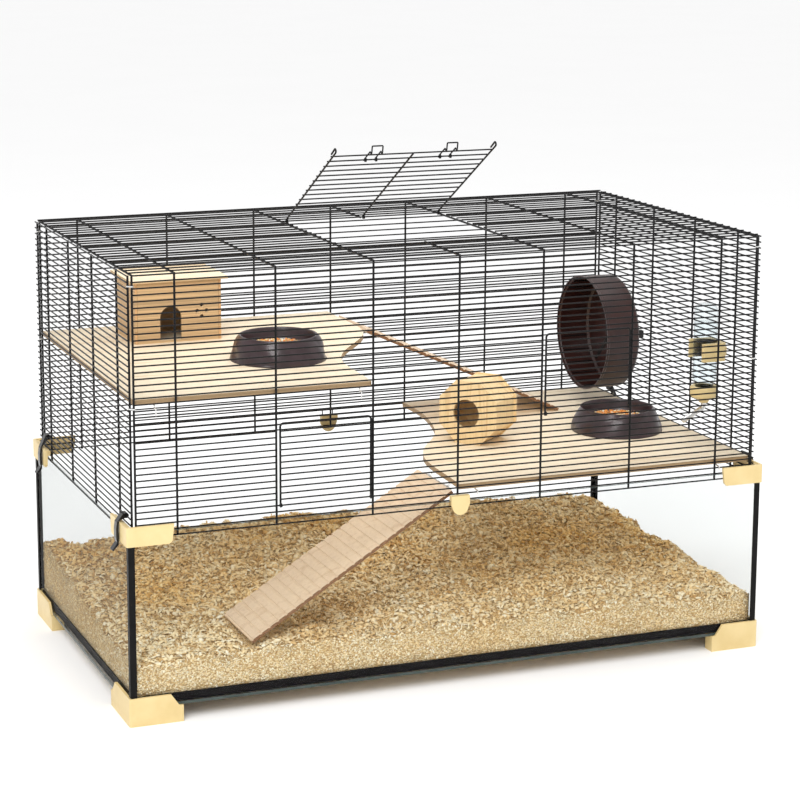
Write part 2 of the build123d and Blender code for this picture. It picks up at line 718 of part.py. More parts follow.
def bottle():
    x, y = BOTTLE

    def lathe(points):
        with BuildPart() as p:
            with BuildSketch(Plane.XZ):
                with BuildLine():
                    Polyline(*points, close=True)
                make_face()
            revolve(axis=Axis.Z)
        return p.part.moved(Location((x, y, 0)))

    save("bottle", [lathe([(0, 522), (12, 521), (17.5, 516), (19, 509), (19, 402), (15, 396), (14, 384),
                           (12.8, 384), (13.8, 397), (17.8, 403), (17.8, 508), (16.5, 515),
                           (11.5, 519.8), (0, 520.8)])])
    save("bottle_water", [lathe([(0, 384.02), (12.75, 384.02), (13.75, 397), (17.75, 403),
                                 (17.75, 492), (0, 492)])])
    save("bottle_cap", [lathe([(0, 384), (14.02, 384), (14.62, 391), (20, 391), (21.5, 389),
                               (21.5, 376), (19.5, 374), (9, 369), (7, 365), (0, 365)])])
    # spout: a bent steel tube out of the cap, towards the middle of the cage
    with BuildPart() as tube:
        with BuildLine() as path:
            FilletPolyline((x, y, 365.0), (x, y, 357.0), (x - 36.0, y, 338.0), radius=6)
        with BuildSketch(Plane(origin=path.line @ 0, z_dir=path.line % 0)):
            Circle(4.0)
        sweep()
        with BuildSketch(Plane(origin=path.line @ 1, z_dir=path.line % 1)):
            Circle(3.2)
        extrude(amount=-6.0, mode=Mode.SUBTRACT)
    save("bottle_spout", [tube.part])
    centre = (path.line @ 1) - (path.line % 1) * 1.4
    save("bottle_ball", [Solid.make_sphere(3.15, Plane(centre), -90, 90, 360)])

    # holder: a cream saddle open to the inside, its prongs on the rows of the right panel
    x1 = SIDE_X + CROSS - R_ROW + TOUCH
    with BuildPart() as holder:
        with BuildSketch(Plane((x, y, 434))):
            with Locations((3.0, 0)):
                RectangleRounded(40, 52, 5)
            Circle(19.4, mode=Mode.SUBTRACT)
            with Locations((-12, 0)):
                Rectangle(24, 38.8, mode=Mode.SUBTRACT)
        extrude(amount=28)
        with Locations((x + 22, y - 15, 448), (x + 22, y + 15, 448)):
            Box(x1 - x - 22, 7, 14, align=(Align.MIN, Align.CENTER, Align.CENTER))
    save("bottle_holder", [holder.part])


tank_glass()
tank_strips()
feet()
bedding()
corner_brackets()
rim_clips()
long_panel("front_panel", -1, (LOW_DOOR, HIGH_DOOR))
long_panel("back_panel", 1, ())
side_panel("left_panel", -1)
side_panel("right_panel", 1)
top_panel()
corner_clips()
front_door("low_door", LOW_DOOR)
front_door("high_door", HIGH_DOOR)
top_door()
top_latches()
side_latches()
shelves()
shelf_hooks()
ramps()
house()
hide()
wheel()
bowls()
bottle()
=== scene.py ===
"""Looks of the hamster cage: materials, bedding, feed and small detail around the CAD frame."""
import math

import bmesh
import bpy
import numpy as np
from mathutils import Euler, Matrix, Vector, noise
from mathutils.bvhtree import BVHTree


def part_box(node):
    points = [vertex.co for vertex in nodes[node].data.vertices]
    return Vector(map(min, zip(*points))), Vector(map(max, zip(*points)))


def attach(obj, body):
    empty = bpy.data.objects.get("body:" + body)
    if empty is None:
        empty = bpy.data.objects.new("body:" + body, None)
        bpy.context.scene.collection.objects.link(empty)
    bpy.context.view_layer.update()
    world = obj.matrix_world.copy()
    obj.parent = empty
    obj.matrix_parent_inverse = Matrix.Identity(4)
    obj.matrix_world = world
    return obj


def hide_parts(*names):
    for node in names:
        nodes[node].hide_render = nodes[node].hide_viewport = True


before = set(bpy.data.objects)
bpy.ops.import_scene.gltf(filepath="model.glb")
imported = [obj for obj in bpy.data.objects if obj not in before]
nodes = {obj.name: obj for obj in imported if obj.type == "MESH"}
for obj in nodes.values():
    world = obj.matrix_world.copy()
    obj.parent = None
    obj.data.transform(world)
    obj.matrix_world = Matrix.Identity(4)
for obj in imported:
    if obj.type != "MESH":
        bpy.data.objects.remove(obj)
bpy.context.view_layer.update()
MM = 0.001

# camera, and lights as place, target, size and watts
CAMERA_PLACE = (-1.32644, -3.30070, 1.18408)
CAMERA_TILT, CAMERA_TURN = 78.601, -20.642
LENS, SENSOR = 105.69, 36.0
SHIFT_X, SHIFT_Y = 0.075, -0.075

FLOOR_HALF = 45.0
KEY_LIGHT = ((-1.6, -2.2, 2.6), (0, 0, 0.3), 1.6, 60)
TOP_LIGHT = ((0.4, 0.2, 3.0), (0, 0, 0.2), 2.2, 35)

PANE = 4 * MM                        # glass thickness, also the thickness of the floor pane
BOARD = 4 * MM                       # thickness of the house's boards


# ----------------------------------------------------------------- node helpers
class Look:
    """A material built from nodes, with one Principled shader."""

    def __init__(self, name, colour=(0.8, 0.8, 0.8), rough=0.5, **sockets):
        self.mat = bpy.data.materials.new(name)
        self.mat.use_nodes = True
        self.tree = self.mat.node_tree
        self.out = self.tree.nodes["Material Output"]
        self.bsdf = self.tree.nodes["Principled BSDF"]
        self.bsdf.inputs["Base Color"].default_value = (*colour, 1)
        self.bsdf.inputs["Roughness"].default_value = rough
        for key, value in sockets.items():
            self.bsdf.inputs[key.replace("_", " ")].default_value = value
        self.coords = self.add("ShaderNodeTexCoord")

    def add(self, kind, **values):
        node = self.tree.nodes.new(kind)
        for key, value in values.items():
            if key in node.inputs.keys():
                node.inputs[key].default_value = value
            else:
                setattr(node, key, value)
        return node

    def link(self, a, b):
        self.tree.links.new(a, b)
        return b

    def space(self, scale=(1, 1, 1), turn=(0, 0, 0)):
        """Object coordinates in metres, turned and then stretched."""
        m = self.add("ShaderNodeMapping")
        m.inputs["Rotation"].default_value = turn
        m.inputs["Scale"].default_value = scale
        self.link(self.coords.outputs["Object"], m.inputs["Vector"])
        return m.outputs["Vector"]

    def noise(self, where, scale, detail=3.0, rough=0.5, twist=0.0):
        n = self.add("ShaderNodeTexNoise", Scale=scale, Detail=detail, Roughness=rough, Distortion=twist)
        self.link(where, n.inputs["Vector"])
        return n.outputs["Fac"]

    def cells(self, where, scale):
        n = self.add("ShaderNodeTexVoronoi", Scale=scale)
        self.link(where, n.inputs["Vector"])
        return n

    def ramp(self, fac, *stops):
        r = self.add("ShaderNodeValToRGB")
        while len(r.color_ramp.elements) < len(stops):
            r.color_ramp.elements.new(0.5)
        for e, (place, colour) in zip(r.color_ramp.elements, stops):
            e.position = place
            e.color = (*colour, 1) if len(colour) == 3 else colour
        self.link(fac, r.inputs["Fac"])
        return r.outputs["Color"]

    def mix(self, fac, a, b, kind="MIX"):
        m = self.add("ShaderNodeMix", data_type="RGBA", blend_type=kind)
        for socket, value in zip((m.inputs[0], m.inputs[6], m.inputs[7]), (fac, a, b)):
            if isinstance(value, bpy.types.NodeSocket):
                self.link(value, socket)
            else:
                socket.default_value = value if isinstance(value, float) else (*value, 1)
        return m.outputs[2]

    def math(self, kind, a, b=0.0):
        m = self.add("ShaderNodeMath", operation=kind)
        for socket, value in zip(m.inputs, (a, b)):
            if isinstance(value, bpy.types.NodeSocket):
                self.link(value, socket)
            else:
                socket.default_value = value
        return m.outputs[0]

    def span(self, value, a, b, low, high):
        m = self.add("ShaderNodeMapRange")
        for socket, v in zip(m.inputs, (value, a, b, low, high)):
            if isinstance(v, bpy.types.NodeSocket):
                self.link(v, socket)
            else:
                socket.default_value = v
        return m.outputs[0]

    def colour(self, socket):
        self.link(socket, self.bsdf.inputs["Base Color"])

    def rough(self, socket, low, high):
        self.link(self.span(socket, 0.2, 0.8, low, high), self.bsdf.inputs["Roughness"])

    def bump(self, height, depth, strength=1.0):
        b = self.add("ShaderNodeBump", Distance=depth, Strength=strength)
        self.link(height, b.inputs["Height"])
        self.link(b.outputs["Normal"], self.bsdf.inputs["Normal"])


# -------------------------------------------------------------------- materials
def wire_look():
    """Black coating over round wire, with slight thick and thin places."""
    m = Look("black_wire", (0.005, 0.005, 0.005), 0.38, Specular_IOR_Level=0.18)
    fac = m.noise(m.space(), 90.0, 2.0)
    m.colour(m.ramp(fac, (0.3, (0.003, 0.003, 0.003)), (0.75, (0.010, 0.009, 0.010))))
    m.rough(fac, 0.30, 0.46)
    m.bump(m.noise(m.space(), 420.0, 2.0), 0.0002)
    return m.mat


def plastic_look(name, low, high, rough, grain=1500.0, coat=0.0, depth=0.00005, shine=0.5):
    """Moulded plastic: cloudy colour and a fine even texture."""
    m = Look(name, high, rough, Coat_Weight=coat, Coat_Roughness=0.15, Specular_IOR_Level=shine)
    m.colour(m.ramp(m.noise(m.space(), 35.0, 3.0), (0.3, low), (0.7, high)))
    m.rough(m.noise(m.space(), 60.0, 2.0), rough - 0.06, rough + 0.08)
    m.bump(m.noise(m.space(), grain, 2.0), depth)
    return m.mat


def rubber_look():
    m = Look("black_seal", (0.004, 0.004, 0.004), 0.6, Specular_IOR_Level=0.12)
    cloud = m.noise(m.space(), 60.0, 3.0)
    m.colour(m.ramp(cloud, (0.3, (0.003, 0.002, 0.003)), (0.8, (0.007, 0.006, 0.006))))
    m.bump(m.noise(m.space(), 700.0, 3.0), 0.0001)
    return m.mat


def metal_look(name, colour, rough):
    m = Look(name, colour, rough, Metallic=1.0)
    streak = m.noise(m.space((1, 1, 8)), 160.0, 2.0)
    m.rough(streak, rough - 0.05, rough + 0.12)
    m.bump(streak, 0.00005)
    return m.mat


def wood_look(name, light, dark, edge, turn=(0, 0, 0), stretch=(2.2, 30, 30), across=None, gloss=0.55):
    """Sanded wood. The grain runs along X before the turn; edge colours the cut sides."""
    m = Look(name, light, gloss)
    along = m.space(stretch, turn)
    bands = m.noise(along, 1.6, 4.0, 0.6, 1.2)
    fibre = m.noise(m.space((6 * stretch[0], 9 * stretch[1], 9 * stretch[2]), turn), 1.5, 3.0, 0.7)
    base = m.ramp(bands, (0.30, dark), (0.46, light), (0.62, light), (0.74, dark))
    base = m.mix(m.span(fibre, 0.45, 0.75, 0.0, 0.35), base, tuple(c * 0.72 for c in dark))
    if edge is not None:
        sides = m.add("ShaderNodeSeparateXYZ")
        m.link(m.coords.outputs["Normal"], sides.inputs[0])
        side = m.math("ABSOLUTE", sides.outputs["Z" if across is None else across])
        fac = m.span(side, 0.35, 0.75, 1.0, 0.0) if across is None else m.span(side, 0.5, 0.8, 0.0, 1.0)
        plies = m.noise(m.space((4, 4, 900)), 1.0, 2.0)
        base = m.mix(fac, base, m.ramp(plies, (0.35, tuple(c * 0.62 for c in edge)), (0.65, edge)))
    m.colour(base)
    m.rough(fibre, gloss - 0.1, gloss + 0.12)
    m.bump(fibre, 0.00025)
    return m.mat


def pane_look(name, tint, ior=1.45, rough=0.02, reflect=0.8):
    """Thin clear sheet: what is behind shows straight through, and it mirrors at a slant."""
    m = Look(name)
    m.tree.nodes.remove(m.bsdf)
    clear = m.add("ShaderNodeBsdfTransparent", Color=(*tint, 1))
    shine = m.add("ShaderNodeBsdfGlossy", Roughness=rough)
    shine.inputs["Color"].default_value = (reflect, reflect, reflect, 1)
    fres = m.add("ShaderNodeFresnel", IOR=ior)
    # only the outward faces mirror, so a sheet with two faces isn't darkened from within
    front = m.math("SUBTRACT", 1.0, m.add("ShaderNodeNewGeometry").outputs["Backfacing"])
    mix = m.add("ShaderNodeMixShader")
    m.link(m.math("MULTIPLY", fres.outputs[0], front), mix.inputs[0])
    m.link(clear.outputs[0], mix.inputs[1])
    m.link(shine.outputs[0], mix.inputs[2])
    m.link(mix.outputs[0], m.out.inputs["Surface"])
    return m.mat


def shaving_look():
    """Each shaving has its own tone, with fine bumps; the colour moves to a darker, warmer ramp in random
    patches, and towards the back of the tank as painted shade.
    """
    m = Look("shavings", (0.7, 0.5, 0.25), 0.75, Specular_IOR_Level=0.25)
    tone = m.add("ShaderNodeAttribute", attribute_name="tone").outputs["Fac"]
    warm = m.noise(m.space(), 7.0, 3.0)
    pale = m.ramp(tone, (0.0, (0.66, 0.42, 0.17)), (0.25, (0.92, 0.71, 0.40)), (0.6, (0.98, 0.83, 0.54)),
                  (1.0, (1.0, 0.95, 0.78)))
    # darker, warmer ramp: random warm patches, and painted shade towards the back of the tank
    gold_tone_and_shade = m.ramp(tone, (0.0, (0.46, 0.22, 0.055)), (0.3, (0.84, 0.53, 0.19)), (0.7, (0.96, 0.70, 0.33)),
                  (1.0, (0.99, 0.85, 0.54)))
    depth = m.add("ShaderNodeSeparateXYZ")
    m.link(m.coords.outputs["Object"], depth.inputs[0])
    # towards the back of the tank the colour moves to the darker ramp: painted shade
    back = m.span(depth.outputs["Y"], -0.20, 0.02, 0.0, 0.55)
    fac = m.math("ADD", back, m.span(warm, 0.40, 0.65, -0.25, 0.45))
    fac = m.span(fac, 0.0, 1.0, 0.0, 1.0)
    m.colour(m.mix(fac, pale, gold_tone_and_shade))
    m.bump(m.noise(m.space(), 900.0, 2.0), 0.0002)
    return m.mat


def litter_look():
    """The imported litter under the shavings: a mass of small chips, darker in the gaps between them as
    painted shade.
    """
    m = Look("litter", (0.6, 0.42, 0.2), 0.85, Specular_IOR_Level=0.2)
    chips = m.cells(m.space((1, 1, 1.6)), 330.0)
    spread = m.noise(m.space(), 11.0, 3.0)
    one = m.ramp(chips.outputs["Color"], (0.15, (0.74, 0.50, 0.22)), (0.5, (0.90, 0.69, 0.38)),
                 (0.85, (0.97, 0.84, 0.58)))
    # darker towards the edges of each chip: painted shade in the gaps between chips
    gap = m.span(chips.outputs["Distance"], 0.25, 0.75, 1.0, 0.35)
    shade = m.mix(m.span(spread, 0.35, 0.7, 0.0, 0.4), one, (0.74, 0.45, 0.16))
    # (0.26, 0.13, 0.04) is the painted shade colour in the gaps
    dark = m.mix(gap, (0.26, 0.13, 0.04), shade)
    m.colour(dark)
    m.bump(m.span(chips.outputs["Distance"], 0.0, 0.8, 1.0, 0.0), 0.0015)
    return m.mat


def grain_look(name, low, high):
    m = Look(name, high, 0.55)
    m.colour(m.ramp(m.noise(m.space(), 220.0, 2.0), (0.35, low), (0.65, high)))
    m.bump(m.noise(m.space(), 900.0, 2.0), 0.0002)
    return m.mat


CREAM = plastic_look("cream_plastic", (0.66, 0.50, 0.225), (0.73, 0.57, 0.28), 0.42, coat=0.1)
STRIP = plastic_look("corner_black", (0.003, 0.003, 0.003), (0.007, 0.006, 0.006), 0.45, shine=0.12)
LATCH = plastic_look("latch_black", (0.004, 0.004, 0.004), (0.009, 0.008, 0.008), 0.22, shine=0.35)
WIRE = wire_look()
SEAL = rubber_look()
GLASS = pane_look("clear_glass", (0.972, 0.978, 0.976), reflect=0.12)
GLASS_EDGE = plastic_look("glass_edge", (0.030, 0.045, 0.041), (0.060, 0.080, 0.073), 0.25, shine=0.3)
PLATED = metal_look("plated_wire", (0.72, 0.72, 0.71), 0.22)
STEEL = metal_look("spout_steel", (0.66, 0.65, 0.63), 0.25)
SHELF = wood_look("shelf_board", (0.90, 0.77, 0.57), (0.76, 0.60, 0.40), (0.50, 0.33, 0.17))
PLY = wood_look("plywood", (1.0, 0.82, 0.54), (0.90, 0.66, 0.38), (0.72, 0.48, 0.25),
                turn=(0, math.pi / 2, 0), stretch=(2.2, 34, 34))
ROOF = wood_look("roof_board", (0.93, 0.78, 0.55), (0.80, 0.59, 0.35), (0.78, 0.55, 0.30))
HIDE = wood_look("hide_board", (0.88, 0.66, 0.36), (0.74, 0.50, 0.24), None, stretch=(26, 26, 2.2))
RAMP = wood_look("ramp_board", (0.80, 0.62, 0.44), (0.66, 0.47, 0.30), (0.27, 0.125, 0.05),
                 turn=(0, 0, math.pi / 2), across="Y")
BROWN = plastic_look("wheel_brown", (0.018, 0.004, 0.003), (0.036, 0.009, 0.006), 0.36, grain=500.0,
                     coat=0.15)
DARK = plastic_look("wheel_black", (0.004, 0.0035, 0.0035), (0.008, 0.007, 0.007), 0.45)
BOWL = plastic_look("bowl_plastic", (0.018, 0.007, 0.009), (0.040, 0.018, 0.022), 0.34, grain=450.0,
                    coat=0.25, depth=0.0002)
BOTTLE = pane_look("bottle_clear", (0.965, 0.98, 0.985), rough=0.05, reflect=0.6)
WATER = pane_look("bottle_water", (0.95, 0.97, 0.975), ior=1.2, reflect=0.5)
TAB = wood_look("end_grain", (0.70, 0.42, 0.20), (0.52, 0.28, 0.11), None, stretch=(40, 40, 60))
SEAM = grain_look("joint_line", (0.20, 0.09, 0.03), (0.30, 0.15, 0.06))
SHAVINGS = shaving_look()
LITTER = litter_look()
FEED = [
    grain_look("feed_orange", (0.55, 0.16, 0.02), (0.75, 0.28, 0.04)),
    grain_look("feed_straw", (0.62, 0.42, 0.14), (0.82, 0.62, 0.30)),
    grain_look("feed_white", (0.70, 0.62, 0.45), (0.88, 0.82, 0.66)),
    grain_look("feed_brown", (0.16, 0.07, 0.03), (0.30, 0.15, 0.07)),
    grain_look("feed_green", (0.20, 0.22, 0.07), (0.34, 0.34, 0.13)),
]

LOOKS = {
    "tank_glass": GLASS, "bottom_strips": SEAL, "corner_strips": STRIP, "corner_lugs": CREAM,
    "feet": CREAM,
    "corner_brackets": CREAM, "rim_clips": CREAM, "rear_catch_barrel": CREAM, "rear_catch": WIRE,
    "front_panel": WIRE, "back_panel": WIRE, "left_panel": WIRE, "right_panel": WIRE, "top_panel": WIRE,
    "corner_clips": PLATED, "low_door": WIRE, "high_door": WIRE, "top_door": WIRE,
    "top_latch_left": WIRE, "top_latch_right": WIRE, "latch_front_left": LATCH, "latch_front_right": LATCH,
    "latch_back_left": LATCH, "latch_back_right": LATCH, "left_shelf": SHELF, "right_shelf": SHELF,
    "shelf_hooks": PLATED, "ramp_loops": PLATED, "lower_ramp": RAMP, "upper_ramp": RAMP,
    "lower_ramp_wire": PLATED, "upper_ramp_wire": PLATED, "house_walls": PLY, "house_roof": ROOF,
    "hide_barrel": HIDE, "hide_boards": HIDE, "wheel_drum": BROWN, "wheel_treads": DARK, "wheel_hub": DARK,
    "wheel_axle": STEEL, "wheel_bracket": DARK, "bottle": BOTTLE, "bottle_water": WATER,
    "bottle_cap": CREAM, "bottle_spout": STEEL, "bottle_ball": STEEL, "bottle_holder": CREAM,
}
for name, look in LOOKS.items():
    nodes[name].data.materials.clear()
    nodes[name].data.materials.append(look)


# ---------------------------------------------------------------------- pieces
def piece(name, body, verts, faces, *looks, slot=None, smooth=False):
    mesh = bpy.data.meshes.new(name)
    mesh.from_pydata([tuple(v) for v in verts], [], [tuple(f) for f in faces])
    for look in looks:
        mesh.materials.append(look)
    if smooth:
        mesh.shade_smooth()
    mesh.update()
    ob = bpy.data.objects.new(name, mesh)
    bpy.context.scene.collection.objects.link(ob)
    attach(ob, body)
    return ob


def bars(name, body, boxes, look, slot):
    """Separate boxes (low corner, high corner) as one piece."""
    verts, faces = [], []
    for lo, hi in boxes:
        k = len(verts)
        for z in (lo[2], hi[2]):
            verts += [(lo[0], lo[1], z), (hi[0], lo[1], z), (hi[0], hi[1], z), (lo[0], hi[1], z)]
        faces += [(k, k + 3, k + 2, k + 1), (k + 4, k + 5, k + 6, k + 7)]
        faces += [(k + i, k + (i + 1) % 4, k + 4 + (i + 1) % 4, k + 4 + i) for i in range(4)]
    return piece(name, body, verts, faces, look, slot=slot)


# ------------------------------------------------------------------ glass edges
def glass_edges():
    """The ground edges of the panes: dark green-grey lines round the rim and the floor pane."""
    lo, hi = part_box("tank_glass")
    proud, bite, line = 0.15 * MM, 0.1 * MM, 0.8 * MM
    x0, y0, x1, y1 = lo.x - proud, lo.y - proud, hi.x + proud, hi.y + proud
    boxes = []
    for z0, z1 in ((lo.z - proud, lo.z + PANE), (hi.z - line, hi.z + 0.05 * MM)):
        boxes += [((x0, y0, z0), (x1, lo.y + bite, z1)), ((x0, hi.y - bite, z0), (x1, y1, z1)),
                  ((x0, y0, z0), (lo.x + bite, y1, z1)), ((hi.x - bite, y0, z0), (x1, y1, z1))]
    bars("glass_edges", "tank", boxes, GLASS_EDGE, "glass")


# --------------------------------------------------------------------- bedding
rng = np.random.default_rng(7)
cad = nodes["bedding"]
litter_tree = BVHTree.FromPolygons([v.co.copy() for v in cad.data.vertices],
                                   [tuple(p.vertices) for p in cad.data.polygons])
BED_LO, BED_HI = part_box("bedding")
NX, NY = 260, 150
GRID_X = np.linspace(BED_LO.x + 0.2 * MM, BED_HI.x - 0.2 * MM, NX)
GRID_Y = np.linspace(BED_LO.y + 0.2 * MM, BED_HI.y - 0.2 * MM, NY)


def heap_height(x, y):
    """CAD surface plus loose clumps, kept down at the foot of the lower ramp."""
    top = litter_tree.ray_cast(Vector((x, y, 1.0)), Vector((0, 0, -1)))[0].z
    big = (noise.noise(Vector((x * 13, y * 15, 3.1))) * 10 + 2.5) * MM
    mid = noise.noise(Vector((x * 42, y * 42, 8.7))) * 8 * MM
    small = abs(noise.noise(Vector((x * 120, y * 120, 1.3)))) * 6 * MM
    foot = math.exp(-(((x + 0.30) / 0.06) ** 2 + ((y + 0.19) / 0.075) ** 2))
    under = 1.0 if x > -0.33 and x < 0.0 and -0.26 < y < -0.115 else 0.0
    return top + (big + mid) * (1 - 0.6 * foot) + small - under * 1.5 * MM


HEIGHT = np.array([[heap_height(x, y) for y in GRID_Y] for x in GRID_X])


def height_at(x, y):
    i = np.clip((x - GRID_X[0]) / (GRID_X[1] - GRID_X[0]), 0, NX - 1.001)
    j = np.clip((y - GRID_Y[0]) / (GRID_Y[1] - GRID_Y[0]), 0, NY - 1.001)
    a, b = i.astype(int), j.astype(int)
    u, v = i - a, j - b
    return (HEIGHT[a, b] * (1 - u) * (1 - v) + HEIGHT[a + 1, b] * u * (1 - v)
            + HEIGHT[a, b + 1] * (1 - u) * v + HEIGHT[a + 1, b + 1] * u * v)


def bedding_heap():
    verts = [(x, y, HEIGHT[i, j]) for i, x in enumerate(GRID_X) for j, y in enumerate(GRID_Y)]
    faces = [(i * NY + j, (i + 1) * NY + j, (i + 1) * NY + j + 1, i * NY + j + 1)
             for i in range(NX - 1) for j in range(NY - 1)]
    rim = ([i * NY for i in range(NX)] + [(NX - 1) * NY + j for j in range(1, NY)]
           + [i * NY + NY - 1 for i in range(NX - 2, -1, -1)] + [j for j in range(NY - 2, 0, -1)])
    k = len(verts)
    verts += [(verts[r][0], verts[r][1], BED_LO.z + 0.1 * MM) for r in rim]
    n = len(rim)
    faces += [(rim[(s + 1) % n], rim[s], k + s, k + (s + 1) % n) for s in range(n)]
    faces.append([k + s for s in range(n)][::-1])
    ob = piece("bedding_heap", "tank", verts, faces, LITTER, slot="wood_shavings", smooth=True)
    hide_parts("bedding")


def many(name, verts, quads, tone):
    """Many small closed shapes as one piece; each shape has one tone for all its corners."""
    n, each = verts.shape[:2]
    faces = (np.arange(n)[:, None, None] * each + np.array(quads)[None]).reshape(-1, 4)
    mesh = bpy.data.meshes.new(name)
    mesh.vertices.add(n * each)
    mesh.vertices.foreach_set("co", verts.reshape(-1))
    mesh.loops.add(len(faces) * 4)
    mesh.loops.foreach_set("vertex_index", faces.reshape(-1))
    mesh.polygons.add(len(faces))
    mesh.polygons.foreach_set("loop_start", np.arange(0, len(faces) * 4, 4))
    mesh.materials.append(SHAVINGS)
    mesh.update(calc_edges=True)
    tones = np.repeat(tone, each).astype(np.float32)
    mesh.attributes.new("tone", "FLOAT", "POINT").data.foreach_set("value", tones)
    ob = bpy.data.objects.new(name, mesh)
    bpy.context.scene.collection.objects.link(ob)
    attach(ob, "tank")


def flakes(name, centres, normals, length, width, curl):
    """Thin curled shavings as closed strips, each with its own tone."""
    n = len(centres)
    yaw = rng.uniform(0, 2 * np.pi, n)
    up = normals / np.linalg.norm(normals, axis=1)[:, None]
    side = np.cross(up, np.stack([np.cos(yaw), np.sin(yaw), np.full(n, 0.013)], 1))
    side /= np.linalg.norm(side, axis=1)[:, None]
    along = np.cross(side, up)
    stations = np.array([-0.5, 0.0, 0.5])
    thick = 0.28 * MM
    verts = np.zeros((n, 12, 3))
    for s, t in enumerate(stations):
        bow = curl * (0.25 - t * t) * 4
        mid = centres + along * (t * length)[:, None] + up * (bow * length)[:, None]
        half = (width * (0.5 if s == 1 else 0.36))[:, None] * side
        lift = up * thick / 2
        verts[:, 4 * s + 0] = mid - half - lift
        verts[:, 4 * s + 1] = mid + half - lift
        verts[:, 4 * s + 2] = mid + half + lift
        verts[:, 4 * s + 3] = mid - half + lift
    quads = [(0, 1, 2, 3), (11, 10, 9, 8)]
    for s in range(2):
        for q in range(4):
            quads.append((4 * s + q, 4 * s + 4 + q, 4 * s + 4 + (q + 1) % 4, 4 * s + (q + 1) % 4))
    many(name, verts, quads, rng.beta(2.0, 1.6, n))


RAMP_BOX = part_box("lower_ramp")


def clear_of_ramp(c, margin):
    """True where a shaving stays under the lower ramp's underside or beside it."""
    lo, hi = RAMP_BOX
    slope = (hi.z - lo.z) / (hi.x - lo.x)
    under = lo.z + (c[:, 0] - lo.x) * slope - 7 * MM
    beside = ((c[:, 1] < lo.y - margin) | (c[:, 1] > hi.y + margin) | (c[:, 0] < lo.x - margin)
              | (c[:, 0] > hi.x + margin))
    return beside | (c[:, 2] + margin * 0.5 < under)


def top_shavings():
    for name, count, y0, y1, size in (("shavings_front", 8500, -0.266, -0.10, 1.4),
                                      ("shavings_middle", 8000, -0.10, 0.09, 1.6),
                                      ("shavings_back", 7000, 0.09, 0.266, 1.7)):
        x = rng.uniform(-0.487, 0.487, count)
        y = rng.uniform(y0, y1, count)
        z = height_at(x, y)
        e = 2 * MM
        nx = -(height_at(x + e, y) - height_at(x - e, y)) / (2 * e)
        ny = -(height_at(x, y + e) - height_at(x, y - e)) / (2 * e)
        normal = np.stack([nx, ny, np.ones(count)], 1)
        normal += rng.normal(0, 0.55, (count, 3))
        length = rng.uniform(3.2, 8, count) * size * MM
        width = rng.uniform(1.6, 3.8, count) * size * MM
        curl = rng.uniform(-0.1, 0.35, count)
        c = np.stack([x, y, z + rng.uniform(-0.5, 2.6, count) * MM], 1)
        keep = clear_of_ramp(c, 6 * MM)
        keep &= (np.abs(c[:, 0]) < 0.4915 - length / 2) & (np.abs(c[:, 1]) < 0.267 - length / 2)
        flakes(name, c[keep], normal[keep], length[keep], width[keep], curl[keep])


def side_shavings():
    """Chips pressed flat against the inside of the four panes."""
    gap = 0.7 * MM
    for name, count, fixed, axis in (("shavings_at_front", 8000, BED_LO.y + gap, 1),
                                     ("shavings_at_back", 4500, BED_HI.y - gap, 1),
                                     ("shavings_at_left", 4200, BED_LO.x + gap, 0),
                                     ("shavings_at_right", 3600, BED_HI.x - gap, 0)):
        c = np.zeros((count, 3))
        other = 1 - axis
        reach = BED_HI[other] - 4 * MM
        c[:, other] = rng.uniform(-reach, reach, count)
        c[:, axis] = fixed + rng.normal(0, 0.12, count) * MM
        top = height_at(c[:, 0], c[:, 1])
        base = BED_LO.z + 15 * MM
        c[:, 2] = base + rng.uniform(0, 1, count) * (top - base)
        out = np.zeros((count, 3))
        out[:, axis] = math.copysign(1, fixed)
        out += rng.normal(0, 0.16, (count, 3))
        length = rng.uniform(3.0, 8.0, count) * MM
        width = rng.uniform(1.8, 4.2, count) * MM
        wall_flakes(name, c, out, length, width, axis)


def wall_flakes(name, c, out, length, width, axis):
    """Flakes whose long side turns freely in the plane of a pane."""
    n = len(c)
    spin = rng.uniform(0, np.pi, n)
    z = np.sin(spin)
    flat = np.cos(spin)
    along = np.zeros((n, 3))
    along[:, 1 - axis], along[:, 2] = flat, z
    out = out / np.linalg.norm(out, axis=1)[:, None]
    side = np.cross(out, along)
    side /= np.linalg.norm(side, axis=1)[:, None]
    along = np.cross(side, out)
    verts = np.zeros((n, 8, 3))
    for k, (a, b, u) in enumerate(((-.5, -.4, -1), (-.5, .4, -1), (.5, .5, -1), (.5, -.3, -1),
                                   (-.5, -.4, 1), (-.5, .4, 1), (.5, .5, 1), (.5, -.3, 1))):
        verts[:, k] = c + along * (a * length)[:, None] + side * (b * width)[:, None] + out * (u * 0.12 * MM)
    quads = [(0, 3, 2, 1), (4, 5, 6, 7), (0, 1, 5, 4), (1, 2, 6, 5), (2, 3, 7, 6), (3, 0, 4, 7)]
    many(name, verts, quads, rng.beta(2.2, 1.5, n))


